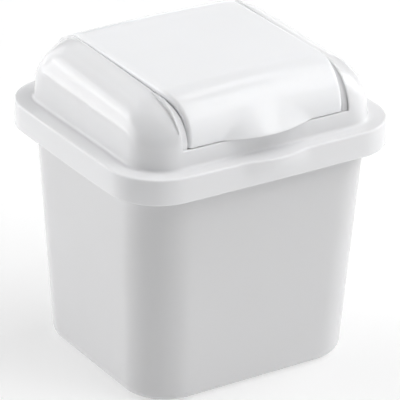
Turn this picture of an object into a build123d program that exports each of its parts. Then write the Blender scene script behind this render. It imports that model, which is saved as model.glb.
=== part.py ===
from build123d import *
import os
from math import cos, sin, radians, sqrt, pi

os.makedirs("parts", exist_ok=True)

# ---------------------------------------------------------------------------
# Countertop bin with a swing lid.  Millimetres, +Z up, front is -Y.
# Origin: centre of the flat face the bin stands on.
# ---------------------------------------------------------------------------

# --- bucket ----------------------------------------------------------------
BASE_HX, BASE_HY = 65.55, 58.0       # half size of the outside at the base
MOUTH_HX, MOUTH_HY = 72.3, 66.8      # half size of the outside at the mouth
BUCKET_R_LOW, BUCKET_R_TOP = 25.1, 27.0
BUCKET_H = 134.3                     # top of the rim flange
BASE_ROUND = 5.6                     # rounding between wall and base
WALL = 1.8
FLOOR = 2.2
FLANGE_HX, FLANGE_HY = 79.4, 69.9    # rim flange that the lid sits on
FLANGE_R = 26.2
FLANGE_T = 1.8
FLANGE_DROP = 4.5                    # turned-down edge of the flange

# --- lid frame -------------------------------------------------------------
RIM_HX, RIM_HY = 82.2, 72.9          # half size at the skirt's lower edge
RIM_IN = 0.2                         # draft of the skirt towards the top
RIM_R = 27.7
RIM_BOW = 1.0                        # outward bow of each side of the skirt
SKIRT_Z0 = 122.6                     # lower edge of the skirt
LEDGE_Z = 136.6                      # top of the flat ledge
LID_WALL = 2.0
RIM_EDGE_ROUND = 1.0
TAB_HALF = 18.0                      # finger tab on the front of the skirt
TAB_OUT = 3.2
SPIGOT_HX, SPIGOT_HY = 69.4, 62.2    # locating ring inside the bucket's mouth
SPIGOT_R = 24.5
SPIGOT_Z0 = 126.0
SPIGOT_T = 1.8

DOME_FOOT_HX, DOME_FOOT_HY = 71.5, 63.7   # half size of the dome where it leaves the ledge
DOME_HX, DOME_HY = 71.1, 63.4        # half size of the dome at the spring of its rounding
DOME_R = 19.0                        # plan radius of the corners at the foot,
DOME_R_MID, DOME_R_TOP = 22.0, 15.3  # half way round the shoulder and at the top
DOME_ROUND_H, DOME_ROUND_V = 22.3, 23.4   # rounding of shoulders, front and back: across, upright
DOME_Z = 169.6                       # top of the shoulders over the origin
DOME_TILT = 1.8                      # the shoulders' top rises towards the back by this angle
OPEN_HX = 50.0                       # half width of the door opening
JAMB_T = 1.8                         # turned-down edge along both sides of the opening
JAMB_DROP = 8.0
SILL_Z = 146.3                       # front sill
REAR_SILL_Z = 156.0                  # rear sill

# --- pivot -----------------------------------------------------------------
PIVOT_Y, PIVOT_Z = 8.0, 162.0
PIN_D = 5.0
BORE_D = 5.15
BRACKET_X0, BRACKET_X1 = 50.0, 52.6
BRACKET_HALF = 6.5
BOSS_D = 9.0
OPEN_ANGLE = 65.0                    # swing of the door, front edge up

# --- swing door ------------------------------------------------------------
DOOR_HX = 49.4                       # half width across the top
DOOR_HX_FRONT = 46.8                 # half width at the front's lower edge
DOOR_T = 2.0
DOOR_TOP = 172.4                     # top of the crowned panel, on its centre line
DOOR_CROWN_R = 1000.0                # crown of the top, across
DOOR_ROUND = 24.0
DOOR_FRONT_Y = -63.1
DOOR_LOW_Z = 147.4                   # lower edge of the front face
DOOR_REAR_ROUND = 19.0
DOOR_REAR_Y = 59.3                   # rear, tucked inside the frame's rear sill
DOOR_REAR_Z = 154.0                  # lower edge of the rear
DOOR_EDGE_ROUND = 2.4
DOOR_FLANGE = 8.0                    # depth of the stiffening side flanges
LIP_HALF = 27.0                      # finger lip
LIP_TOP_HALF = 11.0
LIP_OUT = 5.9
LIP_LOW_Z = 147.0                    # underside of the lip, just above the front sill
LIP_TOP_Z = 161.5
LIP_T = 1.6


# --- helpers ---------------------------------------------------------------
def rrect(hx, hy, r, z):
    return Plane.XY.offset(z) * RectangleRounded(2 * hx, 2 * hy, r)


def bowed(hx, hy, r, s, z):
    """Rounded rectangle whose four sides bow outward by s."""
    ax, ay = hx - s, hy - s
    edges = [
        ThreePointArc((-ax, -ay), (0, -hy), (ax, -ay)),
        ThreePointArc((ax, -ay), (hx, 0), (ax, ay)),
        ThreePointArc((ax, ay), (0, hy), (-ax, ay)),
        ThreePointArc((-ax, ay), (-hx, 0), (-ax, -ay)),
    ]
    f = make_face(edges)
    f = fillet(f.vertices(), r)
    return Plane.XY.offset(z) * f


def dome_solid(off, z0):
    """Rounded box with a drafted wall whose whole top edge rolls over; off moves every face in."""
    rh, rv = DOME_ROUND_H - off, DOME_ROUND_V - off
    zc = DOME_Z - DOME_ROUND_V
    secs = []
    for a in (8.0, 20.0, 32.0, 45.0, 58.0, 70.0, 80.0, 90.0):
        k = a / 90.0
        r = DOME_R * (1 - k) * (1 - 2 * k) + 4 * DOME_R_MID * k * (1 - k) + DOME_R_TOP * k * (2 * k - 1)
        t = rh * (1 - cos(radians(a)))
        r = max(r - off, 1.5)
        secs.append(Pos(0, 0, zc + rv * sin(radians(a))) * Rot(DOME_TILT * sin(radians(a)), 0, 0)
                    * RectangleRounded(2 * (DOME_HX - off - t), 2 * (DOME_HY - off - t), r))
    wall = loft([rrect(DOME_FOOT_HX - off, DOME_FOOT_HY - off, DOME_R - off, z0), secs[0]], ruled=True)
    return wall + loft(secs)


def door_profile(off, z_front, z_rear):
    """Closed YZ outline under the door's outer line moved in by off."""
    rf, rr = DOOR_ROUND - off, DOOR_REAR_ROUND - off
    top = DOOR_TOP - off
    ycf, zcf = DOOR_FRONT_Y + DOOR_ROUND, DOOR_TOP - DOOR_ROUND
    ycr, zcr = DOOR_REAR_Y - DOOR_REAR_ROUND, DOOR_TOP - DOOR_REAR_ROUND
    yf = DOOR_FRONT_Y + off
    a_end = (z_rear - zcr) / rr
    zm = zcr + rr * (1.0 + a_end) / 2
    ym = ycr + sqrt(rr * rr - (zm - zcr) ** 2)
    y_end = ycr + sqrt(rr * rr - (z_rear - zcr) ** 2)
    q = radians(45)
    pts = [
        Line((yf, z_front), (yf, zcf)),
        ThreePointArc((yf, zcf), (ycf - rf * cos(q), zcf + rf * sin(q)), (ycf, top)),
        Line((ycf, top), (ycr, top)),
        ThreePointArc((ycr, top), (ym, zm), (y_end, z_rear)),
        Line((y_end, z_rear), (yf, z_front)),
    ]
    return Plane.YZ * make_face(pts)


def crown(off):
    """Solid under the door's crowned top, moved in by off."""
    return Pos(0, 0, DOOR_TOP - DOOR_CROWN_R) * Rot(90, 0, 0) * Cylinder(DOOR_CROWN_R - off, 200)


def prism_x(face, hx):
    """Extrude a YZ face symmetrically along X."""
    return extrude(face, amount=hx, both=True)


def label(solid, name):
    solid.label = name
    export_step(solid, "parts/%s.step" % name)
    return solid


# --- bucket ----------------------------------------------------------------
def make_bucket():
    outer = loft([rrect(BASE_HX, BASE_HY, BUCKET_R_LOW, 0),
                  rrect(MOUTH_HX, MOUTH_HY, BUCKET_R_TOP, BUCKET_H)], ruled=True)
    outer = fillet(outer.faces().sort_by(Axis.Z)[0].edges(), BASE_ROUND)
    k = FLOOR / BUCKET_H
    hx0 = BASE_HX + (MOUTH_HX - BASE_HX) * k - WALL
    hy0 = BASE_HY + (MOUTH_HY - BASE_HY) * k - WALL
    kt = (BUCKET_H + 1) / BUCKET_H
    hx1 = BASE_HX + (MOUTH_HX - BASE_HX) * kt - WALL
    hy1 = BASE_HY + (MOUTH_HY - BASE_HY) * kt - WALL
    inner = loft([rrect(hx0, hy0, BUCKET_R_LOW - WALL, FLOOR),
                  rrect(hx1, hy1, BUCKET_R_TOP - WALL, BUCKET_H + 1)], ruled=True)
    inner = fillet(inner.faces().sort_by(Axis.Z)[0].edges(), BASE_ROUND - WALL)
    flange = extrude(rrect(FLANGE_HX, FLANGE_HY, FLANGE_R, BUCKET_H - FLANGE_DROP), amount=FLANGE_DROP)
    flange = fillet(flange.faces().sort_by(Axis.Z)[-1].edges(), 1.0)
    under = extrude(rrect(FLANGE_HX - FLANGE_T, FLANGE_HY - FLANGE_T, FLANGE_R - FLANGE_T,
                          BUCKET_H - FLANGE_DROP - 1), amount=FLANGE_DROP + 1 - FLANGE_T)
    flange = flange - under
    return outer + flange - inner


# --- lid frame -------------------------------------------------------------
def make_lid():
    # ledge and skirt
    rim = loft([bowed(RIM_HX, RIM_HY, RIM_R, RIM_BOW, SKIRT_Z0),
                bowed(RIM_HX - RIM_IN, RIM_HY - RIM_IN, RIM_R, RIM_BOW, LEDGE_Z)], ruled=True)
    # finger tab: an arc in plan that fades out towards the skirt's lower edge
    rt = (TAB_HALF ** 2 + TAB_OUT ** 2) / (2 * TAB_OUT)
    tab_y = -(RIM_HY - RIM_IN)
    tab = extrude(Plane.XY.offset(SKIRT_Z0 + 1.5) * (Pos(0, tab_y - TAB_OUT + rt) * Circle(rt)),
                  amount=LEDGE_Z - SKIRT_Z0 - 1.5)
    keep = Pos(0, tab_y - TAB_OUT / 2, 130) * Box(2 * TAB_HALF + 6, TAB_OUT + 8, 40)
    slope = Plane.YZ * make_face(Polyline([(tab_y - TAB_OUT - 0.2, LEDGE_Z - 3.2), (tab_y + 0.15, SKIRT_Z0 + 2.0),
                                           (tab_y + 0.15, SKIRT_Z0 - 5), (tab_y - 12, SKIRT_Z0 - 5),
                                           (tab_y - 12, LEDGE_Z - 3.2)], close=True))
    tab = (tab & keep) - prism_x(slope, 40)
    rim = rim + tab
    top_edges = [e for e in rim.faces().sort_by(Axis.Z)[-1].outer_wire().edges()]
    rim = fillet(top_edges, RIM_EDGE_ROUND)
    cavity = loft([bowed(RIM_HX - LID_WALL, RIM_HY - LID_WALL, RIM_R - LID_WALL, RIM_BOW, SKIRT_Z0 - 1),
                   bowed(RIM_HX - RIM_IN - LID_WALL, RIM_HY - RIM_IN - LID_WALL, RIM_R - LID_WALL, RIM_BOW,
                         LEDGE_Z - LID_WALL)], ruled=True)
    ring = extrude(rrect(SPIGOT_HX, SPIGOT_HY, SPIGOT_R, SPIGOT_Z0), amount=LEDGE_Z - LID_WALL - SPIGOT_Z0)
    ring_in = extrude(rrect(SPIGOT_HX - SPIGOT_T, SPIGOT_HY - SPIGOT_T, SPIGOT_R - SPIGOT_T, SPIGOT_Z0 - 1),
                      amount=LEDGE_Z + 1 - SPIGOT_Z0 + 1)
    # dome
    outer = dome_solid(0, LEDGE_Z - 1.0)
    body = rim + outer
    # soft corner between ledge and dome
    foot = [e for e in body.edges() if abs(e.center().Z - LEDGE_Z) < 0.01
            and abs(e.bounding_box().min.Z - LEDGE_Z) < 0.01 and abs(e.bounding_box().max.Z - LEDGE_Z) < 0.01
            and abs(e.center().X) <= DOME_FOOT_HX + 0.2 and abs(e.center().Y) <= DOME_FOOT_HY + 0.2]
    body = fillet(foot, 1.8)
    body = body - cavity
    body = body + ring - ring_in
    inner = dome_solid(LID_WALL, LEDGE_Z - 0.4)
    body = body - inner
    # turned-down edges along both sides of the opening
    deep = dome_solid(JAMB_DROP, LEDGE_Z - 0.4)
    for s in (-1, 1):
        slab = Pos(s * (OPEN_HX + JAMB_T / 2), 0, 160) * Box(JAMB_T, 2 * DOME_HY + 20, 2 * (160 - LEDGE_Z - 2.5))
        body = body + ((outer & slab) - deep)
    # door opening: through the top, down the front to the sill and down the back to the rear sill
    cut = Plane.YZ * make_face(Polyline([(-90, SILL_Z), (0, SILL_Z), (20, REAR_SILL_Z), (90, REAR_SILL_Z),
                                         (90, 200), (-90, 200)], close=True))
    body = body - prism_x(cut, OPEN_HX)
    # bearing brackets under the shoulders
    for s in (-1, 1):
        xc = s * (BRACKET_X0 + BRACKET_X1) / 2
        w = BRACKET_X1 - BRACKET_X0
        plate = Pos(xc, PIVOT_Y, (PIVOT_Z + DOME_Z - 1.2) / 2) * Box(w, 2 * BRACKET_HALF, DOME_Z - 1.2 - PIVOT_Z)
        nose = Pos(xc, PIVOT_Y, PIVOT_Z) * Rot(0, 90, 0) * Cylinder(BRACKET_HALF, w)
        bore = Pos(xc, PIVOT_Y, PIVOT_Z) * Rot(0, 90, 0) * Cylinder(BORE_D / 2, w + 4)
        body = body + (plate + nose) - bore
    return body


# --- swing door ------------------------------------------------------------
def door_planform(off):
    """Upright prism of the door's plan outline, drawn in from the fold to the narrower front."""
    left = [(-DOOR_HX_FRONT + off, -80), (-DOOR_HX_FRONT + off, -60), (-47.4 + off, -54), (-48.8 + off, -45),
            (-DOOR_HX + off, -37), (-DOOR_HX + off, 80)]
    right = [(-x, y) for x, y in reversed(left)]
    edges = [Line(left[0], left[1]), Spline(left[1:5], tangents=[(0, 1), (0, 1)]),
             Line(left[4], left[5]), Line(left[5], right[0]), Line(right[0], right[1]),
             Spline(right[1:5], tangents=[(0, -1), (0, -1)]),
             Line(right[4], right[5]), Line(right[5], left[0])]
    return extrude(Plane.XY.offset(100) * make_face(edges), amount=120)


def make_door():
    shell = prism_x(door_profile(0, DOOR_LOW_Z, DOOR_REAR_Z), DOOR_HX)
    shell = shell & door_planform(0)
    outer_edges = [e for e in shell.edges() if side_edge(e)]
    shell = fillet(outer_edges, DOOR_EDGE_ROUND) & crown(0)
    # hollow under the panel, then the side flanges cut back to their depth
    inner = prism_x(door_profile(DOOR_T, DOOR_LOW_Z - 6, DOOR_REAR_Z - 6), DOOR_HX) & door_planform(DOOR_T) & crown(DOOR_T)
    deep = prism_x(door_profile(DOOR_FLANGE, DOOR_LOW_Z - 12, DOOR_REAR_Z - 10), DOOR_HX + 5)
    shell = shell - inner - deep
    # finger lip: a fan that leaves the fold and flares out over the sill
    def lip_sec(half, out, z, yb):
        rl = (half ** 2 + out ** 2) / (2 * out)
        arc = ThreePointArc((-half, yb), (0, yb - out), (half, yb))
        return Plane.XY.offset(z) * make_face([arc, Line((half, yb), (half, yb + 1.6)),
                                               Line((half, yb + 1.6), (-half, yb + 1.6)), Line((-half, yb + 1.6), (-half, yb))])
    yb_low = DOOR_FRONT_Y + 0.2
    zc = DOOR_TOP - DOOR_ROUND
    y_top = DOOR_FRONT_Y + DOOR_ROUND - sqrt(DOOR_ROUND ** 2 - (LIP_TOP_Z - zc) ** 2)
    fan = loft([lip_sec(LIP_HALF, LIP_OUT, LIP_LOW_Z + LIP_T, yb_low),
                lip_sec(LIP_TOP_HALF, 0.6, LIP_TOP_Z, y_top + 0.8)], ruled=True)
    edge = extrude(lip_sec(LIP_HALF, LIP_OUT, LIP_LOW_Z, yb_low), amount=LIP_T)
    shell = shell + (fan + edge)
    # trunnions on ears of the side flanges
    for s in (-1, 1):
        ear = Pos(s * (DOOR_HX - DOOR_T / 2 - 0.3), PIVOT_Y, (PIVOT_Z + DOOR_TOP - 2.6) / 2) * \
            Box(DOOR_T, 2 * 6.0, DOOR_TOP - 2.6 - PIVOT_Z)
        nose = Pos(s * (DOOR_HX - DOOR_T / 2 - 0.3), PIVOT_Y, PIVOT_Z) * Rot(0, 90, 0) * Cylinder(6.0, DOOR_T)
        x0 = DOOR_HX - DOOR_T
        x1 = BRACKET_X0 - 0.3
        boss = Pos(s * (x0 + x1) / 2, PIVOT_Y, PIVOT_Z) * Rot(0, 90, 0) * Cylinder(BOSS_D / 2, x1 - x0)
        x2 = BRACKET_X1 + 1.0
        pin = Pos(s * (x0 + x2) / 2, PIVOT_Y, PIVOT_Z) * Rot(0, 90, 0) * Cylinder(PIN_D / 2, x2 - x0)
        shell = shell + (ear + nose + boss + pin)
    return shell


def side_edge(e):
    """True for the edges between the door's outer surface and its side faces."""
    bb = e.bounding_box()
    c = e.center()
    if abs(c.X) < DOOR_HX_FRONT - 0.5:
        return False
    p = e.position_at(0.5)
    if p.Y < DOOR_FRONT_Y + DOOR_ROUND:
        zc = DOOR_TOP - DOOR_ROUND
        d = sqrt((p.Y - DOOR_FRONT_Y - DOOR_ROUND) ** 2 + (max(p.Z, zc) - zc) ** 2) - DOOR_ROUND
    elif p.Y > DOOR_REAR_Y - DOOR_REAR_ROUND:
        zc = DOOR_TOP - DOOR_REAR_ROUND
        d = sqrt((p.Y - DOOR_REAR_Y + DOOR_REAR_ROUND) ** 2 + (p.Z - zc) ** 2) - DOOR_REAR_ROUND
    else:
        d = p.Z - DOOR_TOP
    return abs(d) < 0.02


bucket = label(make_bucket(), "bucket")
lid_frame = label(make_lid(), "lid_frame")
swing_door = label(make_door(), "swing_door")

if __name__ == "__main__":
    for n, s in (("bucket", bucket), ("lid_frame", lid_frame), ("swing_door", swing_door)):
        bb = s.bounding_box()
        print(n, "solids", len(s.solids()), "volume %.0f" % s.volume, "box", bb.min, bb.max)
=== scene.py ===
import math
import bpy
import numpy as np
from mathutils import Matrix, Vector


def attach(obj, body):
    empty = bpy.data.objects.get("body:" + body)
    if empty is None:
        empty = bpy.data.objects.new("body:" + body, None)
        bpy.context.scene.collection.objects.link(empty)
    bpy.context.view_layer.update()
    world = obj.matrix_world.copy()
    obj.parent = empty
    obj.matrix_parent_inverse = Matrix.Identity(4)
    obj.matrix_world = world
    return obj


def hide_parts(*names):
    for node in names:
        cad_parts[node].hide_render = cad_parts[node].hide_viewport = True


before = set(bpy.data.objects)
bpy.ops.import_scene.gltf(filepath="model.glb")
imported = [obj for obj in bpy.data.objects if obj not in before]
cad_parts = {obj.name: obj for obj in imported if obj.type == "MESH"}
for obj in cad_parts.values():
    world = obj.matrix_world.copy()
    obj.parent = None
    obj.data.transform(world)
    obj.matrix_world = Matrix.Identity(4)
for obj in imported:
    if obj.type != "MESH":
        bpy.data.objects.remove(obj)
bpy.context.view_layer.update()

MM = 0.001

# ---------------------------------------------------------------------------
# dimensions in millimetres, the same as the CAD model's
# ---------------------------------------------------------------------------
BASE_HX, BASE_HY = 65.55, 58.0
MOUTH_HX, MOUTH_HY = 72.3, 66.8
BUCKET_R_LOW, BUCKET_R_TOP = 25.1, 27.0
BUCKET_H = 134.3
BASE_ROUND = 5.6
WALL, FLOOR = 1.8, 2.2
FLANGE_HX, FLANGE_HY, FLANGE_R, FLANGE_T, FLANGE_DROP = 79.4, 69.9, 26.2, 1.8, 4.5

RIM_HX, RIM_HY, RIM_R, RIM_BOW, RIM_IN = 82.2, 72.9, 27.7, 1.0, 0.2
SKIRT_Z0, LEDGE_Z, LID_WALL, RIM_EDGE_ROUND = 122.6, 136.6, 2.0, 1.0
TAB_HALF, TAB_OUT = 18.0, 3.2
SPIGOT_HX, SPIGOT_HY, SPIGOT_R, SPIGOT_Z0, SPIGOT_T = 69.4, 62.2, 24.5, 126.0, 1.8

FOOT_HX, FOOT_HY = 71.5, 63.7
DOME_HX, DOME_HY = 71.1, 63.4
DOME_R, DOME_R_MID, DOME_R_TOP = 19.0, 22.0, 15.3
DOME_ROUND_H, DOME_ROUND_V, DOME_Z, DOME_TILT = 22.3, 23.4, 169.6, math.radians(1.8)
JAMB_T, JAMB_DROP = 1.8, 8.0
BRACKET_X0, BRACKET_X1, BRACKET_HALF, PIN_D, BORE_D, BOSS_D = 50.0, 52.6, 6.5, 5.0, 5.15, 9.0
OPEN_HX = 50.0
SILL_Z, REAR_SILL_Z = 146.3, 156.0

PIVOT_Y, PIVOT_Z = 8.0, 162.0
DOOR_HX, DOOR_HX_FRONT, DOOR_T, DOOR_TOP, DOOR_CROWN_R = 49.4, 46.8, 2.0, 172.4, 1000.0
DOOR_ROUND, DOOR_FRONT_Y, DOOR_LOW_Z = 24.0, -63.1, 147.1
DOOR_REAR_ROUND, DOOR_REAR_Y, DOOR_REAR_Z = 19.0, 59.3, 154.0
DOOR_EDGE_ROUND, DOOR_FLANGE = 2.4, 8.0
LIP_HALF, LIP_TOP_HALF, LIP_OUT, LIP_LOW_Z, LIP_TOP_Z = 27.5, 10.0, 5.9, 146.9, 161.5


# ---------------------------------------------------------------------------
# mesh building
# ---------------------------------------------------------------------------
class Skin:
    """Collects grids of quads and welds them into one closed mesh."""

    def __init__(self):
        self.v, self.f, self.n = [], [], 0

    def grid(self, P, closed=False, flip=False):
        """P: array (rows, columns, 3). closed joins the last column to the first."""
        P = np.asarray(P, float)
        r, c = P.shape[:2]
        base = self.n
        self.v.append(P.reshape(-1, 3))
        self.n += r * c
        cols = c if closed else c - 1
        for i in range(r - 1):
            for j in range(cols):
                a = base + i * c + j
                b = base + i * c + (j + 1) % c
                d = base + (i + 1) * c + j
                e = base + (i + 1) * c + (j + 1) % c
                self.f.append((a, d, e, b) if flip else (a, b, e, d))

    def mesh(self, name, weld=0.004):
        V = np.vstack(self.v)
        key = np.round(V / weld).astype(np.int64)
        # weld by sorting: points in the same or a neighbouring cell are merged
        order = {}
        idx = np.empty(len(V), int)
        out = []
        for i, k in enumerate(map(tuple, key)):
            hit = None
            for dx in (0, -1, 1):
                for dy in (0, -1, 1):
                    for dz in (0, -1, 1):
                        j = order.get((k[0] + dx, k[1] + dy, k[2] + dz))
                        if j is not None and np.abs(out[j] - V[i]).max() < weld:
                            hit = j
                            break
                    if hit is not None:
                        break
                if hit is not None:
                    break
            if hit is None:
                hit = len(out)
                out.append(V[i])
                order[k] = hit
            idx[i] = hit
        faces = []
        seen = set()
        for f in self.f:
            g = []
            for a in f:
                b = int(idx[a])
                if b not in g:
                    g.append(b)
            if len(g) < 3:
                continue
            k = frozenset(g)
            if k in seen:
                continue
            seen.add(k)
            faces.append(g)
        me = bpy.data.meshes.new(name)
        me.from_pydata([tuple(p * MM) for p in out], [], faces)
        me.validate()
        me.update()
        return me


def put(me, name):
    ob = bpy.data.objects.new(name, me)
    bpy.context.scene.collection.objects.link(ob)
    return ob


def recalc(me):
    """Faces outward, from the mesh alone."""
    import bmesh
    bm = bmesh.new()
    bm.from_mesh(me)
    bmesh.ops.recalc_face_normals(bm, faces=bm.faces)
    vol = bm.calc_volume(signed=True)
    if vol < 0:
        bmesh.ops.reverse_faces(bm, faces=bm.faces)
    bad = [e for e in bm.edges if len(e.link_faces) != 2]
    bm.to_mesh(me)
    bm.free()
    return len(bad)


def smooth(me):
    me.polygons.foreach_set("use_smooth", [True] * len(me.polygons))
    me.update()


def spaced(a, b, n):
    return np.linspace(a, b, n + 1)


# ---------------------------------------------------------------------------
# rings of the lid: 48 steps across the front and the rear between x = -50 and
# x = 50, and corner, side, corner down each side, so that the door opening's
# edges fall on columns
# ---------------------------------------------------------------------------
N_FRONT, N_CORNER, N_SIDE = 48, 16, 26
EDGE = 0.45                      # rounding of the opening's edges
EDGE_X = 0.95                    # its width along the sides of the opening
CUT = OPEN_HX + EDGE_X


def bow_arcs(hx, hy, r, s):
    """Centres and angles of the arcs of a rounded rectangle whose sides bow outward by s."""
    ax, ay = hx - s, hy - s
    Rx, Ry = (ay * ay + s * s) / (2 * s), (ax * ax + s * s) / (2 * s)
    c1, c2 = np.array([hx - Rx, 0.0]), np.array([0.0, hy - Ry])
    c = np.array([ax - r, ay - r])
    for _ in range(30):
        d1, d2 = c - c1, c - c2
        n1, n2 = np.linalg.norm(d1), np.linalg.norm(d2)
        c = c - np.linalg.solve(np.array([d1 / n1, d2 / n2]), np.array([n1 - (Rx - r), n2 - (Ry - r)]))
    a0 = math.atan2(c[1] - c1[1], c[0] - c1[0])
    a1 = math.atan2(c[1] - c2[1], c[0] - c2[0])
    return Rx, Ry, c, a0, a1


def half_path(hx, hy, r, bow=0.0, cut=CUT):
    """Right half of a rounded rectangle from its front crossing of x = cut to its rear one."""
    pts = []
    if bow > 0.02:
        Rx, Ry, c, a0, a1 = bow_arcs(hx, hy, r, bow)
        tc = math.acos(cut / Ry)
        L1, L2 = Ry * (tc - a1), r * (a1 - a0)
        for s in spaced(0, L1 + L2, N_CORNER):
            if s <= L1:
                t = tc - s / Ry
                pts.append((Ry * math.cos(t), -(hy - Ry + Ry * math.sin(t))))
            else:
                t = a1 - (s - L1) / r
                pts.append((c[0] + r * math.cos(t), -(c[1] + r * math.sin(t))))
        t = spaced(-a0, a0, N_SIDE)[1:-1]
        side = np.stack([hx - Rx + Rx * np.cos(t), Rx * np.sin(t)], 1)
    else:
        ax, ay = hx - r, hy - r
        if ax > cut:
            L1, L2 = ax - cut, r * math.pi / 2
            for s in spaced(0, L1 + L2, N_CORNER):
                if s <= L1:
                    pts.append((cut + s, -hy))
                else:
                    b = (s - L1) / r
                    pts.append((ax + r * math.sin(b), -ay - r * math.cos(b)))
        else:
            b0 = math.asin(min(1.0, max(-1.0, (cut - ax) / r)))
            for b in spaced(b0, math.pi / 2, N_CORNER):
                pts.append((ax + r * math.sin(b), -ay - r * math.cos(b)))
        y = spaced(-ay, ay, N_SIDE)[1:-1]
        side = np.stack([np.full(len(y), hx), y], 1)
    front = np.array(pts)
    rear = front[::-1] * np.array([1, -1])
    return np.vstack([front, side, rear])


def full_ring(hx, hy, r, z, bow=0.0, front=None):
    """Closed ring, starting at front x = -50 and running towards +X."""
    h = half_path(hx, hy, r, bow)
    xs = spaced(-CUT, CUT, N_FRONT)[1:-1]
    if bow > 0.02:
        Ry = ((hx - bow) ** 2 + bow * bow) / (2 * bow)
        fy = -(hy - Ry + np.sqrt(Ry * Ry - xs * xs))
    else:
        fy = -hy + 0 * xs
    f = np.stack([xs, fy], 1)
    left = h[::-1] * np.array([-1, 1])
    rr = np.stack([xs[::-1], -fy[::-1]], 1)
    P = np.vstack([[left[-1]], f, h, rr, left[:-1]])
    return np.column_stack([P, np.full(len(P), z)])


def dome_ring(a, off=0.0):
    """Half sizes, corner radius and height of the dome at roll angle a degrees, moved in by off."""
    rh, rv = DOME_ROUND_H - off, DOME_ROUND_V - off
    k = a / 90.0
    r = DOME_R * (1 - k) * (1 - 2 * k) + 4 * DOME_R_MID * k * (1 - k) + DOME_R_TOP * k * (2 * k - 1)
    t = rh * (1 - math.cos(math.radians(a)))
    return DOME_HX - off - t, DOME_HY - off - t, max(r - off, 1.5), ZC + rv * math.sin(math.radians(a))


def lean(P, off=0.0):
    """The dome's top rises towards the back: every ring of the roll is tilted by its share."""
    P = np.array(P, float)
    k = np.clip((P[..., 2] - ZC) / (DOME_ROUND_V - off), 0, 1)
    P[..., 2] += P[..., 1] * math.tan(DOME_TILT) * k
    return P


A0 = 8.0
ZC = DOME_Z - DOME_ROUND_V
# height of the rear sill before the tilt
REAR_U = ZC + (REAR_SILL_Z - ZC) / (1 + 61.8 * math.tan(DOME_TILT) / DOME_ROUND_V)


def wall_ring(z, off=0.0):
    """The drafted wall between the ledge and the first roll ring."""
    hx1, hy1, r1, z1 = dome_ring(A0, off)
    z0 = LEDGE_Z - 1.0
    k = (z - z0) / (z1 - z0)
    hx0, hy0, r0 = FOOT_HX - off, FOOT_HY - off, DOME_R - off
    return hx0 + (hx1 - hx0) * k, hy0 + (hy1 - hy0) * k, r0 + (r1 - r0) * k, z


def level(z, off=0.0):
    """Dome ring at height z."""
    z1 = dome_ring(A0, off)[3]
    if z <= z1:
        return wall_ring(z, off)
    a = math.degrees(math.asin(min(1.0, (z - ZC) / (DOME_ROUND_V - off))))
    return dome_ring(a, off)


def smoothstep(t):
    t = np.clip(t, 0, 1)
    return t * t * (3 - 2 * t)


def tab_shape(P):
    """Finger tab on the front of the skirt, fading out towards the lower edge."""
    x, y, z = P[..., 0], P[..., 1], P[..., 2]
    u = np.clip(1 - (x / (TAB_HALF + 2.5)) ** 2, 0, 1)
    bump = u ** 1.55
    fade = smoothstep((z - 124.2) / (133.8 - 124.2)) ** 0.9
    out = TAB_OUT * bump * fade
    sel = y < -66.5
    w = np.clip((-y - 68.6) / (RIM_HY - 1.4 - 68.6), 0, 1)
    P[..., 1] -= np.where(sel, out * smoothstep(w), 0)
    return P


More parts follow.
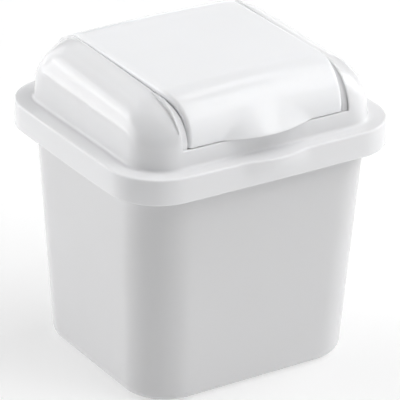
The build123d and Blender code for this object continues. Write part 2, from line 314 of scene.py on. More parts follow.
def lid_shell():
    sk = Skin()
    rows = []

    def add(ring, tab=False):
        P = ring
        if tab:
            P = tab_shape(P.copy())
        rows.append(P)

    # --- from the ring's inner foot, round its lower edge, up outside, along the ledge's underside,
    #     down inside the skirt, round its lower edge, up the outside, over the ledge to the dome
    e = 0.35
    def spig(hx_off, z):
        return full_ring(SPIGOT_HX - hx_off, SPIGOT_HY - hx_off, SPIGOT_R - hx_off, z)
    # inner side, from the sill height down
    for z in (SILL_Z - EDGE, 143.5, 141.0, 138.7, 137.1):
        hx, hy, r, _ = level(z, LID_WALL)
        add(full_ring(hx, hy, r, z))
    hx, hy, r, _ = level(136.4, LID_WALL)
    add(full_ring(hx, hy, r, 136.4))
    add(full_ring(hx - 0.25, hy - 0.2, r - 0.2, 136.22))
    add(spig(SPIGOT_T - 0.3, 136.2))
    add(spig(SPIGOT_T - 0.05, 136.1))
    add(spig(SPIGOT_T, 135.8))
    for z in (132.0, 129.0, SPIGOT_Z0 + 0.5):
        add(spig(SPIGOT_T, z))
    add(spig(SPIGOT_T - 0.12, SPIGOT_Z0 + 0.12))
    add(spig(SPIGOT_T - 0.5, SPIGOT_Z0))
    add(spig(0.5, SPIGOT_Z0))
    add(spig(0.12, SPIGOT_Z0 + 0.12))
    add(spig(0.0, SPIGOT_Z0 + 0.5))
    for z in (129.0, 132.0, 134.35):
        add(spig(0.0, z))
    add(spig(-0.3, LEDGE_Z - LID_WALL))
    # underside of the ledge
    w = LID_WALL
    for k in (0.12, 0.5, 0.88, 0.97):
        hx = SPIGOT_HX + (RIM_HX - RIM_IN - w - SPIGOT_HX) * k
        hy = SPIGOT_HY + (RIM_HY - RIM_IN - w - SPIGOT_HY) * k
        r = SPIGOT_R + (RIM_R - w - SPIGOT_R) * k
        add(full_ring(hx, hy, r, LEDGE_Z - LID_WALL, RIM_BOW * k))
    def skirt(off, z):
        k = (z - SKIRT_Z0) / (LEDGE_Z - SKIRT_Z0)
        return full_ring(RIM_HX - RIM_IN * k - off, RIM_HY - RIM_IN * k - off, RIM_R - off, z, RIM_BOW)
    for z in (134.3, 131.0, 128.0, 125.0, SKIRT_Z0 + 0.5):
        add(skirt(w, z))
    # the skirt's lower edge
    for a in (45, 90):
        add(skirt(w - 0.5 * (1 - math.cos(math.radians(a))), SKIRT_Z0 + 0.5 * (1 - math.sin(math.radians(a)))))
    for a in (90, 60, 30, 0):
        add(skirt(0.55 * (1 - math.cos(math.radians(a))), SKIRT_Z0 + 0.55 * (1 - math.sin(math.radians(a)))))
    for z in (124.0, 125.4, 126.8, 128.2, 129.6, 131.0, 132.4, 133.8, 135.1):
        add(skirt(0.0, z), tab=True)
    R = RIM_EDGE_ROUND
    for a in (0, 15, 30, 45, 60, 75, 90):
        add(skirt(R * (1 - math.cos(math.radians(a))), LEDGE_Z - R + R * math.sin(math.radians(a))), tab=True)
    # the ledge
    F = 1.9
    hx1, hy1, r1, _ = level(LEDGE_Z + F, 0)
    hxo, hyo, ro = RIM_HX - RIM_IN - R, RIM_HY - RIM_IN - R, RIM_R - R
    for k in (0.25, 0.5, 0.75):
        hx = hxo + (hx1 + F - hxo) * k
        hy = hyo + (hy1 + F - hyo) * k
        r = ro + (r1 + F - ro) * k
        add(full_ring(hx, hy, r, LEDGE_Z, RIM_BOW * (1 - k)), tab=True)
    # soft corner between ledge and dome
    for a in (0, 18, 36, 54, 72, 90):
        o = F * (1 - math.sin(math.radians(a)))
        add(full_ring(hx1 + o, hy1 + o, r1 + o, LEDGE_Z + F * (1 - math.cos(math.radians(a)))))
    for z in (139.9, 141.8, 143.8, SILL_Z - EDGE):
        hx, hy, r, _ = level(z, 0)
        add(full_ring(hx, hy, r, z))
    sk.grid(np.array(rows), closed=True)

    # --- front and rear sill: a strip over the wall's edge, rounded on both sides
    nf = N_FRONT + 1
    e = EDGE
    th = [0, 30, 60, 90]

    def depth(z, off, xs):
        """Distance of the wall from the middle along the columns xs."""
        hx, hy, r, _ = level(z, off)
        q = np.clip(np.abs(xs) - (hx - r), 0, r)
        return hy - r + np.sqrt(r * r - q * q)

    def over(z_top, off_out, off_in, front):
        """Rows across a sill; each row runs along x from -CUT to CUT."""
        out = []
        for a in th:
            s_, c_ = math.sin(math.radians(a)), math.cos(math.radians(a))
            out.append((off_out, -e * (1 - c_), OPEN_HX + EDGE_X * (1 - s_), z_top - e * (1 - s_)))
        for a in th[::-1]:
            s_, c_ = math.sin(math.radians(a)), math.cos(math.radians(a))
            out.append((off_in, e * (1 - c_), OPEN_HX + EDGE_X * (1 - s_), z_top - e * (1 - s_)))
        rows_ = []
        for off, dy, xh, z in out:
            xs = spaced(-xh, xh, N_FRONT)
            y = depth(z_top - e, off, xs) + dy
            rows_.append(np.column_stack([xs, -y if front else y, np.full(nf, z)]))
        return np.array(rows_)

    sill_f = over(SILL_Z, 0, LID_WALL, True)
    sill_r = over(REAR_U, 0, LID_WALL, False)
    sill_r[:4], sill_r[4:] = lean(sill_r[:4]), lean(sill_r[4:], LID_WALL)
    sk.grid(sill_f)
    sk.grid(sill_r, flip=True)
    xs = spaced(-CUT, CUT, N_FRONT)
    for off, flp in ((0.0, False), (LID_WALL, True)):
        g = []
        for z in (SILL_Z - e, 148.6, 151.2, 153.6, REAR_U - e):
            g.append(np.column_stack([xs, depth(z, off, xs), np.full(nf, z)]))
        sk.grid(lean(g, off), flip=not flp)

    # --- shoulders
    levels_z = [SILL_Z - EDGE, 148.6, 151.2, 153.6, REAR_U - EDGE]
    aK = 62.0
    angs = [math.degrees(math.asin((REAR_U - EDGE - ZC) / DOME_ROUND_V))]
    while angs[-1] < aK - 4:
        angs.append(angs[-1] + 5.2)
    angs[-1] = aK
    def shoulder(off):
        """Rows of the right shoulder, from sill height to roll angle aK, then the strip above it."""
        grid = []
        for z in levels_z:
            hx, hy, r, _ = level(z, off)
            h = half_path(hx, hy, r)
            grid.append(np.column_stack([h, np.full(len(h), z)]))
        for a in angs[1:]:
            hx, hy, r, z = dome_ring(a, off)
            h = half_path(hx, hy, r)
            grid.append(np.column_stack([h, np.full(len(h), z)]))
        grid = np.array(grid)
        # top strip: from the last ring in to the line x = OPEN_HX
        last = grid[-1]
        n = len(last)
        s = np.linspace(0, 1, n)
        y0, y1 = last[0, 1], last[-1, 1]
        # spread along the jamb line by the ring's own progress
        d = np.concatenate([[0], np.cumsum(np.hypot(*np.diff(last[:, :2], axis=0).T))])
        prog = d / d[-1]
        prog = prog + 0.0 * s
        yj = y0 + (y1 - y0) * prog
        strip = []
        for k in (0.0, 0.3, 0.55, 0.78, 1.0):
            px = last[:, 0] + (CUT - last[:, 0]) * k
            py = last[:, 1] + (yj - last[:, 1]) * k
            pz = np.array([height(abs(x), abs(y), off) for x, y in zip(px, py)])
            strip.append(np.column_stack([px, py, pz]))
        strip[0] = last
        return lean(grid, off), lean(strip, off)

    def height(x, y, off):
        """Height of the dome's surface above a point of the plan."""
        lo, hi = 0.0, 90.0
        for _ in range(40):
            m = (lo + hi) / 2
            hx, hy, r, z = dome_ring(m, off)
            ax, ay = hx - r, hy - r
            qx, qy = x - ax, y - ay
            if qx > 0 and qy > 0:
                inside = math.hypot(qx, qy) <= r
            else:
                inside = x <= hx and y <= hy
            if inside:
                lo = m
            else:
                hi = m
        return dome_ring(lo, off)[3]

    go, so = shoulder(0.0)
    gi, si = shoulder(LID_WALL)
    # jamb edges, front then over the top then rear, as one line each
    def jamb(g, s):
        return np.vstack([g[:, 0], s[-1][1:-1], g[len(levels_z) - 1:][::-1, -1]])
    jo, ji = jamb(go, so), jamb(gi, si)
    # the jamb's band: rounded off at the outer and the inner edge, mitred into the sills
    nrm = ji - jo
    nrm /= np.linalg.norm(nrm, axis=1)[:, None]
    band = []
    for k, a in enumerate(th):
        s_, c_ = math.sin(math.radians(a)), math.cos(math.radians(a))
        row = jo + nrm * e * (1 - c_)
        row[:, 0] = OPEN_HX + EDGE_X * (1 - s_)
        row[0], row[-1] = sill_f[k, -1], sill_r[k, -1]
        band.append(row)
    for k, a in enumerate(th[::-1]):
        s_, c_ = math.sin(math.radians(a)), math.cos(math.radians(a))
        row = ji - nrm * e * (1 - c_)
        row[:, 0] = OPEN_HX + EDGE_X * (1 - s_)
        row[0], row[-1] = sill_f[4 + k, -1], sill_r[4 + k, -1]
        band.append(row)
    for sgn in (1, -1):
        m = np.array([sgn, 1, 1])
        fl = sgn > 0
        sk.grid(go * m, flip=not fl)
        sk.grid(so * m, flip=not fl)
        sk.grid(gi * m, flip=fl)
        sk.grid(si * m, flip=fl)
        sk.grid(np.array(band) * m, flip=fl)
    me = sk.mesh("lid_frame_shell")
    return me, (jo, ji)


def frame_piece():
    me, _ = lid_shell()
    bad = recalc(me)
    print("lid shell open edges:", bad)
    smooth(me)
    ob = put(me, "lid_frame_shell")
    return ob


# ---------------------------------------------------------------------------
# bucket
# ---------------------------------------------------------------------------
def ring_mid(hx, hy, r, z, nc=18, ns=16):
    """Closed ring that starts in the middle of a corner, four equal sides."""
    ax, ay = hx - r, hy - r
    side = []
    for q in range(4):
        c, s = [(1, 0), (0, 1), (-1, 0), (0, -1)][q]
        lx, ly = (ax, ay) if q % 2 == 0 else (ay, ax)
        # local frame: outward normal along -y', running +x'
        pts = []
        for t in np.linspace(-math.pi / 4, 0, nc // 2 + 1):
            pts.append((-lx + r * math.sin(t), -ly - r * math.cos(t)))
        for x in np.linspace(-lx, lx, ns + 1)[1:]:
            pts.append((x, -ly - r))
        for t in np.linspace(0, math.pi / 4, nc // 2 + 1)[1:-1]:
            pts.append((lx + r * math.sin(t), -ly - r * math.cos(t)))
        P = np.array(pts)
        side.append(np.column_stack([P[:, 0] * c - P[:, 1] * s, P[:, 0] * s + P[:, 1] * c]))
    P = np.vstack(side)
    return np.column_stack([P, np.full(len(P), z)])


def cap(ring, z):
    """Grid of quads that fills a ring_mid ring (Coons patch of its four sides)."""
    n = len(ring) // 4
    S = [ring[q * n:(q + 1) * n + 1] if q < 3 else np.vstack([ring[3 * n:], ring[:1]]) for q in range(4)]
    bottom, right, top, left = S[0], S[1], S[2][::-1], S[3][::-1]
    u = np.linspace(0, 1, n + 1)[None, :, None]
    v = np.linspace(0, 1, n + 1)[:, None, None]
    C = ((1 - v) * bottom[None] + v * top[None] + (1 - u) * left[:, None] + u * right[:, None]
         - ((1 - u) * (1 - v) * bottom[0] + u * (1 - v) * bottom[-1] + (1 - u) * v * top[0] + u * v * top[-1]))
    C[..., 2] = z
    return C


def bucket_piece():
    sk = Skin()
    rows = []

    def outer(z, o=0.0):
        k = z / BUCKET_H
        return (BASE_HX + (MOUTH_HX - BASE_HX) * k - o, BASE_HY + (MOUTH_HY - BASE_HY) * k - o,
                BUCKET_R_LOW + (BUCKET_R_TOP - BUCKET_R_LOW) * k - o)

    # base, from a small ring out to the rounding
    for o in (BASE_ROUND + 14, BASE_ROUND + 7, BASE_ROUND + 1.0):
        hx, hy, r = outer(0, o)
        rows.append(ring_mid(hx, hy, r, 0))
    for a in np.linspace(0, 90, 10):
        o = BASE_ROUND * (1 - math.sin(math.radians(a)))
        z = BASE_ROUND * (1 - math.cos(math.radians(a)))
        hx, hy, r = outer(z, o)
        rows.append(ring_mid(hx, hy, r, z))
    for z in np.linspace(BASE_ROUND + 3, 128.2, 26):
        rows.append(ring_mid(*outer(z), z))
    # under the flange
    u = BUCKET_H - FLANGE_T
    rows.append(ring_mid(*outer(u - 0.6), u - 0.6))
    hx, hy, r = outer(u)
    rows.append(ring_mid(hx + 0.2, hy + 0.2, r, u - 0.15))
    rows.append(ring_mid(hx + 0.7, hy + 0.7, r, u))
    fx, fy, fr = FLANGE_HX, FLANGE_HY, FLANGE_R
    t = FLANGE_T
    rows.append(ring_mid(fx - t - 0.5, fy - t - 0.5, fr - t - 0.3, u))
    rows.append(ring_mid(fx - t - 0.12, fy - t - 0.12, fr - t, u - 0.12))
    rows.append(ring_mid(fx - t, fy - t, fr - t, u - 0.5))
    zb = BUCKET_H - FLANGE_DROP
    rows.append(ring_mid(fx - t, fy - t, fr - t, zb + 0.4))
    rows.append(ring_mid(fx - t + 0.4, fy - t + 0.4, fr - t, zb))
    rows.append(ring_mid(fx - 0.4, fy - 0.4, fr - 0.4, zb))
    rows.append(ring_mid(fx, fy, fr, zb + 0.4))
    rows.append(ring_mid(fx, fy, fr, BUCKET_H - 1.0))
    for a in (30, 60, 90):
        o = 1.0 - math.cos(math.radians(a))
        rows.append(ring_mid(fx - o, fy - o, fr - o, BUCKET_H - 1.0 + math.sin(math.radians(a))))
    # mouth and inside
    hx, hy, r = outer(BUCKET_H, WALL)
    rows.append(ring_mid(hx + 0.6, hy + 0.6, r + 0.6, BUCKET_H))
    rows.append(ring_mid(hx + 0.17, hy + 0.17, r + 0.17, BUCKET_H - 0.18))
    rows.append(ring_mid(hx, hy, r, BUCKET_H - 0.6))
    for z in np.linspace(130, FLOOR + BASE_ROUND - WALL, 20):
        rows.append(ring_mid(*outer(z, WALL), z))
    R = BASE_ROUND - WALL
    for a in np.linspace(90, 0, 7)[1:]:
        o = WALL + R * (1 - math.sin(math.radians(a)))
        z = FLOOR + R * (1 - math.cos(math.radians(a)))
        hx, hy, r = outer(z, o)
        rows.append(ring_mid(hx, hy, r, z))
    for o in (WALL + R + 6, WALL + R + 13):
        hx, hy, r = outer(FLOOR, o)
        rows.append(ring_mid(hx, hy, r, FLOOR))
    sk.grid(np.array(rows), closed=True)
    sk.grid(cap(rows[0], 0.0), flip=True)
    sk.grid(cap(rows[-1], FLOOR))
    me = sk.mesh("bucket_body")
    bad = recalc(me)
    print("bucket open edges:", bad)
    smooth(me)
    return put(me, "bucket_body")


# ---------------------------------------------------------------------------
# swing door
# ---------------------------------------------------------------------------
def door_halfwidth(y):
    ys = np.array([-64.0, -60.0, -54.0, -45.0, -37.0, 80.0])
    ws = np.array([46.75, 46.8, 47.4, 48.8, DOOR_HX, DOOR_HX])
    # smooth interpolation through the plan's points
    t = np.clip((y - ys[:-1]) / np.diff(ys), 0, 1)
    i = int(np.clip(np.searchsorted(ys, y) - 1, 0, 4))
    m = np.array([0.0, 0.03, 0.125, 0.11, 0.0, 0.0])
    h = ys[i + 1] - ys[i]
    s = min(1.0, max(0.0, (y - ys[i]) / h))
    h00 = 2 * s ** 3 - 3 * s ** 2 + 1
    h10 = s ** 3 - 2 * s ** 2 + s
    h01 = -2 * s ** 3 + 3 * s ** 2
    h11 = s ** 3 - s ** 2
    return h00 * ws[i] + h10 * h * m[i] + h01 * ws[i + 1] + h11 * h * m[i + 1]


def door_line():
    """Points and inward normals along the door's outer profile, front lower edge to rear lower edge."""
    pts = []
    cy, cz, R = DOOR_FRONT_Y + DOOR_ROUND, DOOR_TOP - DOOR_ROUND, DOOR_ROUND
    pts.append((DOOR_FRONT_Y, DOOR_LOW_Z, 0.0, 1.0))
    for a in np.linspace(0, 90, 37):
        c, s = math.cos(math.radians(a)), math.sin(math.radians(a))
        pts.append((cy - R * c, cz + R * s, s, c))
    cy2, cz2, R2 = DOOR_REAR_Y - DOOR_REAR_ROUND, DOOR_TOP - DOOR_REAR_ROUND, DOOR_REAR_ROUND
    for y in np.linspace(cy, cy2, 27)[1:]:
        pts.append((y, DOOR_TOP, 1.0, 0.0))
    end = math.degrees(math.asin((DOOR_REAR_Z - cz2) / R2))
    for a in np.linspace(90, end, 22)[1:]:
        c, s = math.cos(math.radians(a)), math.sin(math.radians(a))
        pts.append((cy2 + R2 * c, cz2 + R2 * s, s, -c))
    P = np.array([(y, z) for y, z, s, c in pts])
    N = np.array([(c, -s) for y, z, s, c in pts])   # inward
    return P, N


def lip_push(x, z, depth):
    """How far the finger lip stands out at a point of the door's front."""
    zb = DOOR_TOP - DOOR_ROUND
    t = np.clip((LIP_TOP_Z - z) / (LIP_TOP_Z - DOOR_LOW_Z), 0, 1.0)
    half = LIP_TOP_HALF + (LIP_HALF - LIP_TOP_HALF) * t ** 0.9
    y_top = -(-(DOOR_FRONT_Y + DOOR_ROUND)) - math.sqrt(DOOR_ROUND ** 2 - (LIP_TOP_Z - zb) ** 2)
    zz = max(z, zb)
    y_base = DOOR_FRONT_Y + DOOR_ROUND - math.sqrt(max(DOOR_ROUND ** 2 - (zz - zb) ** 2, 0))
    y_ramp = y_top + (DOOR_FRONT_Y - LIP_OUT - y_top) * t
    d = max(0.0, y_base - y_ramp)
    if z >= LIP_TOP_Z:
        d = 0.0
    u = min(1.0, abs(x) / half)
    b = (1 - u * u) ** 1.25
    return d * b


def door_piece():
    P, N = door_line()
    ns = len(P)
    nx, nr = 56, 7
    R = DOOR_EDGE_ROUND
    sk = Skin()
    outer_rows, inner_rows = [], []
    for k in range(ns):
        y0, z0 = P[k]
        n = N[k]
        w = door_halfwidth(y0)
        # cross-section, as (x, depth) pairs: outside and inside, same count
        out, inn = [], []
        fl = DOOR_FLANGE
        e = 0.5
        T = DOOR_T
        for sgn in (-1,):
            pass
        left_out = [(-w, fl - e), (-w, fl * 0.7), (-w, R + 0.8)]
        for a in np.linspace(0, 90, nr + 1):
            left_out.append((-w + R * (1 - math.cos(math.radians(a))), R * (1 - math.sin(math.radians(a)))))
        r_in = 1.0
        left_in = [(-w + T, fl - e), (-w + T, fl * 0.7), (-w + T, T + r_in + 0.4)]
        for a in np.linspace(0, 90, nr + 1):
            left_in.append((-w + T + r_in * (1 - math.cos(math.radians(a))), T + r_in * (1 - math.sin(math.radians(a)))))
        mid_x = np.linspace(-(w - R), w - R, nx + 1)[1:-1]
        mid_xi = np.linspace(-(w - T - r_in), w - T - r_in, nx + 1)[1:-1]
        out = left_out + [(x, 0.0) for x in mid_x] + [(-x, d) for x, d in reversed(left_out)]
        inn = left_in + [(x, T) for x in mid_xi] + [(-x, d) for x, d in reversed(left_in)]
        # rounded free edge of the flange
        tip = []
        def at(q, inner):
            x, d = q
            y = y0 + n[0] * d
            z = z0 + n[1] * d - x * x / (2 * DOOR_CROWN_R) * max(0.0, -n[1]) ** 1.5
            push = lip_push(x, z0, d)
            y -= push
            # the lip's edge droops a little below the door's straight edge
            if push > 0:
                z -= (DOOR_LOW_Z - LIP_LOW_Z) * push / LIP_OUT
            return (x, y, z)
        outer_rows.append([at(q, False) for q in out])
        inner_rows.append([at(q, True) for q in inn])
    O = np.array(outer_rows)
    I = np.array(inner_rows)
    sk.grid(O)
    sk.grid(I, flip=True)
    # flange tips
    for j, flp in ((0, False), (-1, True)):
        a, b = O[:, j], I[:, j]
        d = (a - O[:, j + (1 if j == 0 else -1)])
        d = d / np.linalg.norm(d, axis=1)[:, None]
        rows = [a]
        e = 0.5
        for f_ in (0.25, 0.5, 0.75):
            bulge = e * math.sin(math.pi * f_)
            rows.append(a + (b - a) * f_ + d * bulge)
        rows.append(b)
        sk.grid(np.array(rows), flip=not flp)
    # end edges, front and rear, rounded over half the thickness
    for i, flp in ((0, True), (-1, False)):
        a, b = O[i], I[i]
        d = a - O[1 if i == 0 else -2]
        d = d / np.linalg.norm(d, axis=1)[:, None]
        rows = [a]
        e = 0.55
        for f_ in (0.1, 0.25, 0.5, 0.75, 0.9):
            bulge = e * math.sin(math.pi * f_) ** 0.6
            rows.append(a + (b - a) * f_ + d * bulge)
        rows.append(b)
        G = np.array(rows)
        sk.grid(G, flip=not flp)
        # close the small gap at the flange tips' corners
        for j in (0, -1):
            tip = []
            a0, b0 = O[i, j], I[i, j]
            dd = (O[i, j] - O[i, j + (1 if j == 0 else -1)])
            dd = dd / np.linalg.norm(dd)
            line_t = [a0] + [a0 + (b0 - a0) * f_ + dd * 0.5 * math.sin(math.pi * f_) for f_ in (0.25, 0.5, 0.75)] + [b0]
            line_e = [G[k, j] for k in range(len(rows))]
            # fan between the two curved lines
            L1, L2 = np.array(line_t), np.array(line_e)
            base = sk.n
            sk.v.append(np.vstack([L1, L2]))
            sk.n += len(L1) + len(L2)
            loop = [base + q for q in range(len(L1))] + [base + len(L1) + q for q in range(len(L2) - 2, 0, -1)]
            sk.f.append(tuple(loop))
    me = sk.mesh("swing_door_panel")
    bad = recalc(me)
    print("door open edges:", bad)
    smooth(me)
    return put(me, "swing_door_panel")


# ---------------------------------------------------------------------------
# small pieces: the turned-down jambs, the bearing brackets, the ears and trunnions
# ---------------------------------------------------------------------------
def tube(name, sections):
    """Closed mesh from equal rings of points, with flat ends."""
    sk = Skin()
    sk.grid(np.array(sections), closed=True)
    for ring in (sections[0], sections[-1]):
        base = sk.n
        sk.v.append(np.array(ring, float))
        sk.n += len(ring)
        sk.f.append(tuple(range(base, base + len(ring))))
    me = sk.mesh(name, 0.002)
    bad = recalc(me)
    if bad:
        print(name, "open edges:", bad)
    smooth(me)
    return put(me, name)


STEP_TOP, STEP_FRONT, STEP_GAP = 0.48, 1.1, 0.12


def jamb_piece(side, name):
    """Return wall along one side of the opening, from under the front sill to the rear sill."""
    def line(off):
        pts = [(-level(z, off)[1], z) for z in (139.0, 142.0, 145.0, 148.0)]
        pts += [(-dome_ring(a, off)[1], dome_ring(a, off)[3]) for a in np.linspace(A0, 86, 26)]
        top = dome_ring(88, off)
        ys = np.linspace(-top[1], top[1], 30)
        pts += [(y, dome_ring(90, off)[3]) for y in ys]
        end = math.degrees(math.asin((REAR_U - EDGE - ZC) / DOME_ROUND_V))
        pts += [(dome_ring(a, off)[1], dome_ring(a, off)[3]) for a in np.linspace(86, end, 20)]
        P = np.array([(0.0, y, z) for y, z in pts])
        return lean(P, off)[:, 1:]
    A, B, M0, M1 = line(0.43), line(JAMB_DROP), line(STEP_TOP), line(STEP_FRONT)
    M = M0 + (M1 - M0) * smoothstep((-M0[:, :1] - 38.0) / 14.0)
    x0, x1 = OPEN_HX, OPEN_HX + JAMB_T
    q = 0.35
    secs = []
    for a, m, b in zip(A, M, B):
        if abs(b[0] - PIVOT_Y) < 7.0 and b[1] > PIVOT_Z - 2:
            b = a + (b - a) * 0.5          # cut away over the bearing
        d = (b - a) / np.linalg.norm(b - a)
        # in front the wall steps in towards the narrower door, so that the groove stays shallow
        xi = min(x0 - 0.02, door_halfwidth(m[0]) + STEP_GAP)
        ring = [(x0, a), (x0, a + (m - a) * 0.6), (x0 - 0.015, m), (xi + min(q, x0 - xi) * 0.9, m), (xi, m + d * q),
                (xi, b - d * q), (xi + q * 0.3, b - d * q * 0.3), (xi + q, b),
                (x1 - q, b), (x1 - q * 0.3, b - d * q * 0.3), (x1, b - d * q), (x1, a + (b - a) * 0.5), (x1, a)]
        secs.append([(side * x, p[0], p[1]) for x, p in ring])
    return tube(name, secs)


def sill_rib(name):
    """Low rib behind the front sill, which the closed door's lower edge stands in front of."""
    y0, y1, z0, z1, q = DOOR_FRONT_Y + DOOR_T + 0.35, DOOR_FRONT_Y + DOOR_T + 1.5, SILL_Z - 3.0, SILL_Z + 3.0, 0.35
    ring = [(y0, z0), (y0, z1 - q), (y0 + q * 0.3, z1 - q * 0.3), (y0 + q, z1), (y1 - q, z1), (y1 - q * 0.3, z1 - q * 0.3),
            (y1, z1 - q), (y1, z0)]
    # a foot joins it to the inside of the wall
    ring = [(-DOME_HY + LID_WALL - 0.6, z0 - 1.2), (-DOME_HY + LID_WALL - 0.6, z0 + 0.6), (y0 - 0.1, z0 + 0.6)] + ring[1:-1] + [(y1, z0), (y1 - 0.4, z0 - 1.2)]
    return tube(name, [[(x, y, z) for y, z in ring] for x in spaced(-46.0, 46.0, 40)])


def outline_d(half, top, n=40):
    """Outline of a plate with a round lower end about the pivot and straight sides up to top."""
    pts = []
    for t in np.linspace(-math.pi, 0, n // 2 + 1):
        pts.append((PIVOT_Y + half * math.cos(t), PIVOT_Z + half * math.sin(t)))
    pts += [(PIVOT_Y + half, z) for z in np.linspace(PIVOT_Z, top, 8)[1:]]
    pts += [(y, top) for y in np.linspace(PIVOT_Y + half, PIVOT_Y - half, 8)[1:]]
    pts += [(PIVOT_Y - half, z) for z in np.linspace(top, PIVOT_Z, 8)[1:-1]]
    return np.array(pts)


def plate_piece(name, side, x0, x1, half, top, bore):
    """Plate standing across X, with or without a bore about the pivot."""
    out = outline_d(half, top)
    q = 0.3
    c = np.array([PIVOT_Y, PIVOT_Z])
    shrink = lambda P, o: c + (P - c) * (1 - o / np.linalg.norm(P - c, axis=1))[:, None]
    rows = [(x0, shrink(out, q)), (x0 + q * 0.3, shrink(out, q * 0.3)), (x0 + q, out),
            (x1 - q, out), (x1 - q * 0.3, shrink(out, q * 0.3)), (x1, shrink(out, q))]
    if bore:
        u = (out - c) / np.linalg.norm(out - c, axis=1)[:, None]
        rows = [(x0 + q, c + u * bore), (x0, c + u * (bore + q))] + rows + [(x1, c + u * (bore + q)), (x1 - q, c + u * bore)]
        rows.append(rows[0])
        sk = Skin()
        sk.grid(np.array([[(side * x, p[0], p[1]) for p in P] for x, P in rows]), closed=True)
        me = sk.mesh(name, 0.002)
        bad = recalc(me)
        if bad:
            print(name, "open edges:", bad)
        smooth(me)
        return put(me, name)
    return tube(name, [[(side * x, p[0], p[1]) for p in P] for x, P in rows])


def trunnion_piece(name, side):
    """Boss and pin, turned about the pivot line."""
    x0, x1, x2 = DOOR_HX - DOOR_T, BRACKET_X0 - 0.3, BRACKET_X1 + 1.0
    prof = [(x0, BOSS_D / 2), (x1 - 0.3, BOSS_D / 2), (x1 - 0.1, BOSS_D / 2 - 0.1), (x1, BOSS_D / 2 - 0.3),
            (x1, PIN_D / 2 + 0.25), (x1 + 0.07, PIN_D / 2 + 0.07), (x1 + 0.3, PIN_D / 2), (x2 - 0.5, PIN_D / 2),
            (x2 - 0.15, PIN_D / 2 - 0.12), (x2, PIN_D / 2 - 0.5), (x2, PIN_D / 4)]
    secs = []
    for x, r in prof:
        secs.append([(side * x, PIVOT_Y + r * math.cos(t), PIVOT_Z + r * math.sin(t))
                     for t in np.linspace(0, 2 * math.pi, 49)[:-1]])
    return tube(name, secs)


lid = frame_piece()
bucket = bucket_piece()
door = door_piece()
lid_bits, door_bits = [sill_rib("lid_sill_rib")], []
for sd, word in ((-1, "left"), (1, "right")):
    lid_bits.append(jamb_piece(sd, "lid_jamb_" + word))
    lid_bits.append(plate_piece("lid_bracket_" + word, sd, BRACKET_X0 + 0.05, BRACKET_X1, BRACKET_HALF, 168.4, BORE_D / 2))
    door_bits.append(plate_piece("door_ear_" + word, sd, DOOR_HX - DOOR_T - 0.15, DOOR_HX - 0.3, 6.0, DOOR_TOP - 3.6, 0))
    door_bits.append(trunnion_piece("door_trunnion_" + word, sd))

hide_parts("lid_frame")
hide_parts("bucket")
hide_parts("swing_door")
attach(lid, "lid")
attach(bucket, "bucket")
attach(door, "door")
for ob in lid_bits:
    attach(ob, "lid")
for ob in door_bits:
    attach(ob, "door")


# ---------------------------------------------------------------------------
# material: white moulded polypropylene with a satin sheen
# ---------------------------------------------------------------------------
def plastic(name, colour, rough=0.2, coat=0.0, scatter=0.3, offset=0.0):
    m = bpy.data.materials.new(name)
    m.use_nodes = True
    nt = m.node_tree
    b = nt.nodes["Principled BSDF"]
    new, L = nt.nodes.new, nt.links.new
    tc = new("ShaderNodeTexCoord")
    mp = new("ShaderNodeMapping")
    mp.inputs["Location"].default_value = (offset, 2 * offset, 3 * offset)
    L(tc.outputs["Object"], mp.inputs["Vector"])

    def noise(scale, detail, rough_=0.5):
        n = new("ShaderNodeTexNoise")
        n.inputs["Scale"].default_value = scale
        n.inputs["Detail"].default_value = detail
        n.inputs["Roughness"].default_value = rough_
        L(mp.outputs["Vector"], n.inputs["Vector"])
        return n.outputs["Fac"]

    def ranged(fac, lo, hi):
        r = new("ShaderNodeMapRange")
        r.interpolation_type = 'SMOOTHSTEP'
        r.inputs["From Min"].default_value = 0.25
        r.inputs["From Max"].default_value = 0.75
        r.inputs["To Min"].default_value = lo
        r.inputs["To Max"].default_value = hi
        L(fac, r.inputs["Value"])
        return r.outputs["Result"]

    # the pigment's faint clouding
    mix = new("ShaderNodeMix")
    mix.data_type = 'RGBA'
    c = np.array(colour)
    mix.inputs["A"].default_value = (*(c * np.array([0.992, 0.991, 0.988])), 1)
    mix.inputs["B"].default_value = (*np.clip(c * 1.004, 0, 1), 1)
    L(ranged(noise(14.0, 2.0), 0.0, 1.0), mix.inputs["Factor"])
    L(mix.outputs["Result"], b.inputs["Base Color"])
    # the gloss varies a little with flow and wear
    L(ranged(noise(38.0, 3.0), rough - 0.012, rough + 0.02), b.inputs["Roughness"])
    # fine moulded grain over a very shallow unevenness of the skin
    fine = new("ShaderNodeBump")
    fine.inputs["Strength"].default_value = 0.12
    fine.inputs["Distance"].default_value = 0.00002
    L(noise(2600.0, 2.0), fine.inputs["Height"])
    wave = new("ShaderNodeBump")
    wave.inputs["Strength"].default_value = 0.25
    wave.inputs["Distance"].default_value = 0.00006
    L(noise(60.0, 1.0), wave.inputs["Height"])
    L(fine.outputs["Normal"], wave.inputs["Normal"])
    L(wave.outputs["Normal"], b.inputs["Normal"])
    b.inputs["IOR"].default_value = 1.49
    b.inputs["Specular IOR Level"].default_value = 0.34
    b.inputs["Subsurface Weight"].default_value = scatter
    b.inputs["Subsurface Radius"].default_value = (1.0, 0.96, 0.91)
    b.inputs["Subsurface Scale"].default_value = 0.003
    return m


# one white plastic in three brightnesses, set so that each part's shading comes out right: the darker colours of the
# bucket and the lid are painted shade, the door's lighter colour is painted light
lid_mat_shaded = plastic("lid_plastic_white_shaded", (0.783, 0.785, 0.797), 0.14, offset=0.3)
bucket_mat_shaded = plastic("bucket_plastic_white_shaded", (0.685, 0.685, 0.694), 0.22, offset=0.1)
door_mat_lit = plastic("door_plastic_white_lit", (0.857, 0.863, 0.879), 0.14, offset=0.7)
for ob in [lid] + lid_bits:
    ob.data.materials.append(lid_mat_shaded)
bucket.data.materials.append(bucket_mat_shaded)
for ob in [door] + door_bits:
    ob.data.materials.append(door_mat_lit)

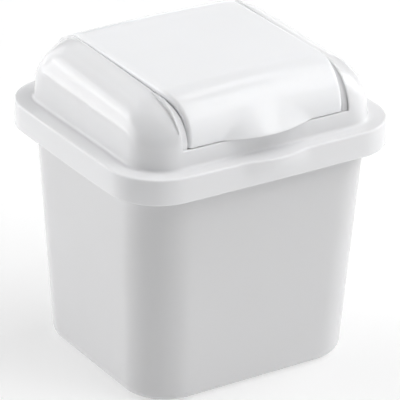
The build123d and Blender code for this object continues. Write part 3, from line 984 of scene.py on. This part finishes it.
# ---------------------------------------------------------------------------
# stage, camera, light
# ---------------------------------------------------------------------------
fm = bpy.data.meshes.new("floor")
s = 6.0
fm.from_pydata([(-s, -s, 0), (s, -s, 0), (s, s, 0), (-s, s, 0)], [], [(0, 1, 2, 3)])
floor = put(fm, "floor")
fmat = bpy.data.materials.new("floor_white")
fmat.use_nodes = True
fb = fmat.node_tree.nodes["Principled BSDF"]
fb.inputs["Base Color"].default_value = (0.5, 0.5, 0.5, 1)
fb.inputs["Roughness"].default_value = 0.6
fb.inputs["Emission Color"].default_value = (1, 1, 1, 1)
fb.inputs["Emission Strength"].default_value = 0.45
fm.materials.append(fmat)

# low wall all round, far behind the lamps, so that level views end in a pale background too
wm = bpy.data.meshes.new("backdrop")
n_, r_ = 96, 5.9
ring_ = [(r_ * math.cos(2 * math.pi * i / n_), r_ * math.sin(2 * math.pi * i / n_)) for i in range(n_)]
wm.from_pydata([(x, y, z) for z in (0.0, 0.42) for x, y in ring_], [],
               [(i, n_ + i, n_ + (i + 1) % n_, (i + 1) % n_) for i in range(n_)])
backdrop = put(wm, "backdrop")
wmat = bpy.data.materials.new("backdrop_white")
wmat.use_nodes = True
wb = wmat.node_tree.nodes["Principled BSDF"]
wb.inputs["Base Color"].default_value = (0.5, 0.5, 0.5, 1)
wb.inputs["Roughness"].default_value = 0.8
wb.inputs["Emission Color"].default_value = (1, 1, 1, 1)
wb.inputs["Emission Strength"].default_value = 0.75
wm.materials.append(wmat)

AZ, EL, ROLL = math.radians(-32.975), math.radians(25.397), math.radians(1.094)
FPX, DIST, T1, TZ = 3122.733, 1653.104, 1.056, 81.812
back = Vector((math.sin(AZ) * math.cos(EL), -math.cos(AZ) * math.cos(EL), math.sin(EL)))
fwd = -back
right = fwd.cross(Vector((0, 0, 1))).normalized()
up = right.cross(fwd)
r2 = right * math.cos(ROLL) + up * math.sin(ROLL)
u2 = -right * math.sin(ROLL) + up * math.cos(ROLL)
target = Vector((math.cos(AZ) * T1, math.sin(AZ) * T1, TZ))
pos = (target + back * DIST) * MM
cam = bpy.data.cameras.new("camera")
cam.sensor_width = 36.0
cam.sensor_fit = 'HORIZONTAL'
cam.lens = FPX / 400.0 * 36.0
cam.clip_start, cam.clip_end = 0.05, 50
co = bpy.data.objects.new("camera", cam)
co.matrix_world = Matrix(((r2.x, u2.x, back.x, pos.x), (r2.y, u2.y, back.y, pos.y), (r2.z, u2.z, back.z, pos.z), (0, 0, 0, 1)))
bpy.context.scene.collection.objects.link(co)
bpy.context.scene.camera = co


def area(name, direction, dist, size, power, colour=(1, 1, 1), size_y=None):
    l = bpy.data.lights.new(name, 'AREA')
    l.shape = 'RECTANGLE' if size_y else 'SQUARE'
    l.size = size
    if size_y:
        l.size_y = size_y
    l.energy = power
    l.color = colour
    o = bpy.data.objects.new(name, l)
    d = Vector(direction).normalized()
    o.location = d * dist + Vector((0, 0, 0.09))
    o.rotation_euler = d.to_track_quat('Z', 'Y').to_euler()
    bpy.context.scene.collection.objects.link(o)
    return o


def polar(az, el):
    a, e = math.radians(az), math.radians(el)
    return (math.cos(a) * math.cos(e), math.sin(a) * math.cos(e), math.sin(e))


# name, azimuth, elevation, power, width, height (as if 1.3 m away)
LIGHTS = [
    ("front_62", 292, 60, 4.00, 0.95, 0.80),
    ("left_rear_10", 140, 14, 8.40, 1.20, 0.80),
    ("rear_left_10", 112, 13, 4.30, 1.30, 0.70),
    ("overhead", 0, 88, 3.80, 0.80, 0.80),
    ("front_right_42", 308, 40, 1.90, 0.42, 0.42),
    ("fold", 14, 60, 0.80, 0.34, 0.26),
    ("rear_left_25", 128, 20, 0.80, 0.90, 0.10),
    ("right_10", 0, 10, 1.20, 0.50, 0.42),
    ("rear_left_42", 120, 42, 1.33, 0.60, 0.60),
    ("front_right_25", 300, 25, 1.80, 0.60, 0.50),
    ("front_right_10", 300, 10, 1.10, 0.60, 0.42),
    ("right_25", 0, 25, 3.40, 0.60, 0.50),
    ("rear_42", 90, 42, 1.03, 0.60, 0.60),
    ("right_front_62", 320, 62, 0.80, 0.60, 0.60),
    ("right_front_42", 340, 45, 3.20, 0.60, 0.60),
    ("rear_left_62", 120, 62, 0.53, 0.60, 0.60),
    ("rear_right_25", 60, 27, 0.39, 0.60, 0.50),
    ("rear_right_8", 51, 9, 0.50, 0.50, 0.24),
]
FAR = 3.0
for n_, az_, el_, p_, w_, h_ in LIGHTS:
    area(n_, polar(az_, el_), FAR, w_ * FAR / 1.3, p_ * (FAR / 1.3) ** 2, size_y=h_ * FAR / 1.3)

w = bpy.data.worlds.new("world")
w.use_nodes = True
w.node_tree.nodes["Background"].inputs["Color"].default_value = (1, 1, 1, 1)
w.node_tree.nodes["Background"].inputs["Strength"].default_value = 0.000
bpy.context.scene.world = w
bpy.context.scene.view_settings.view_transform = 'Standard'
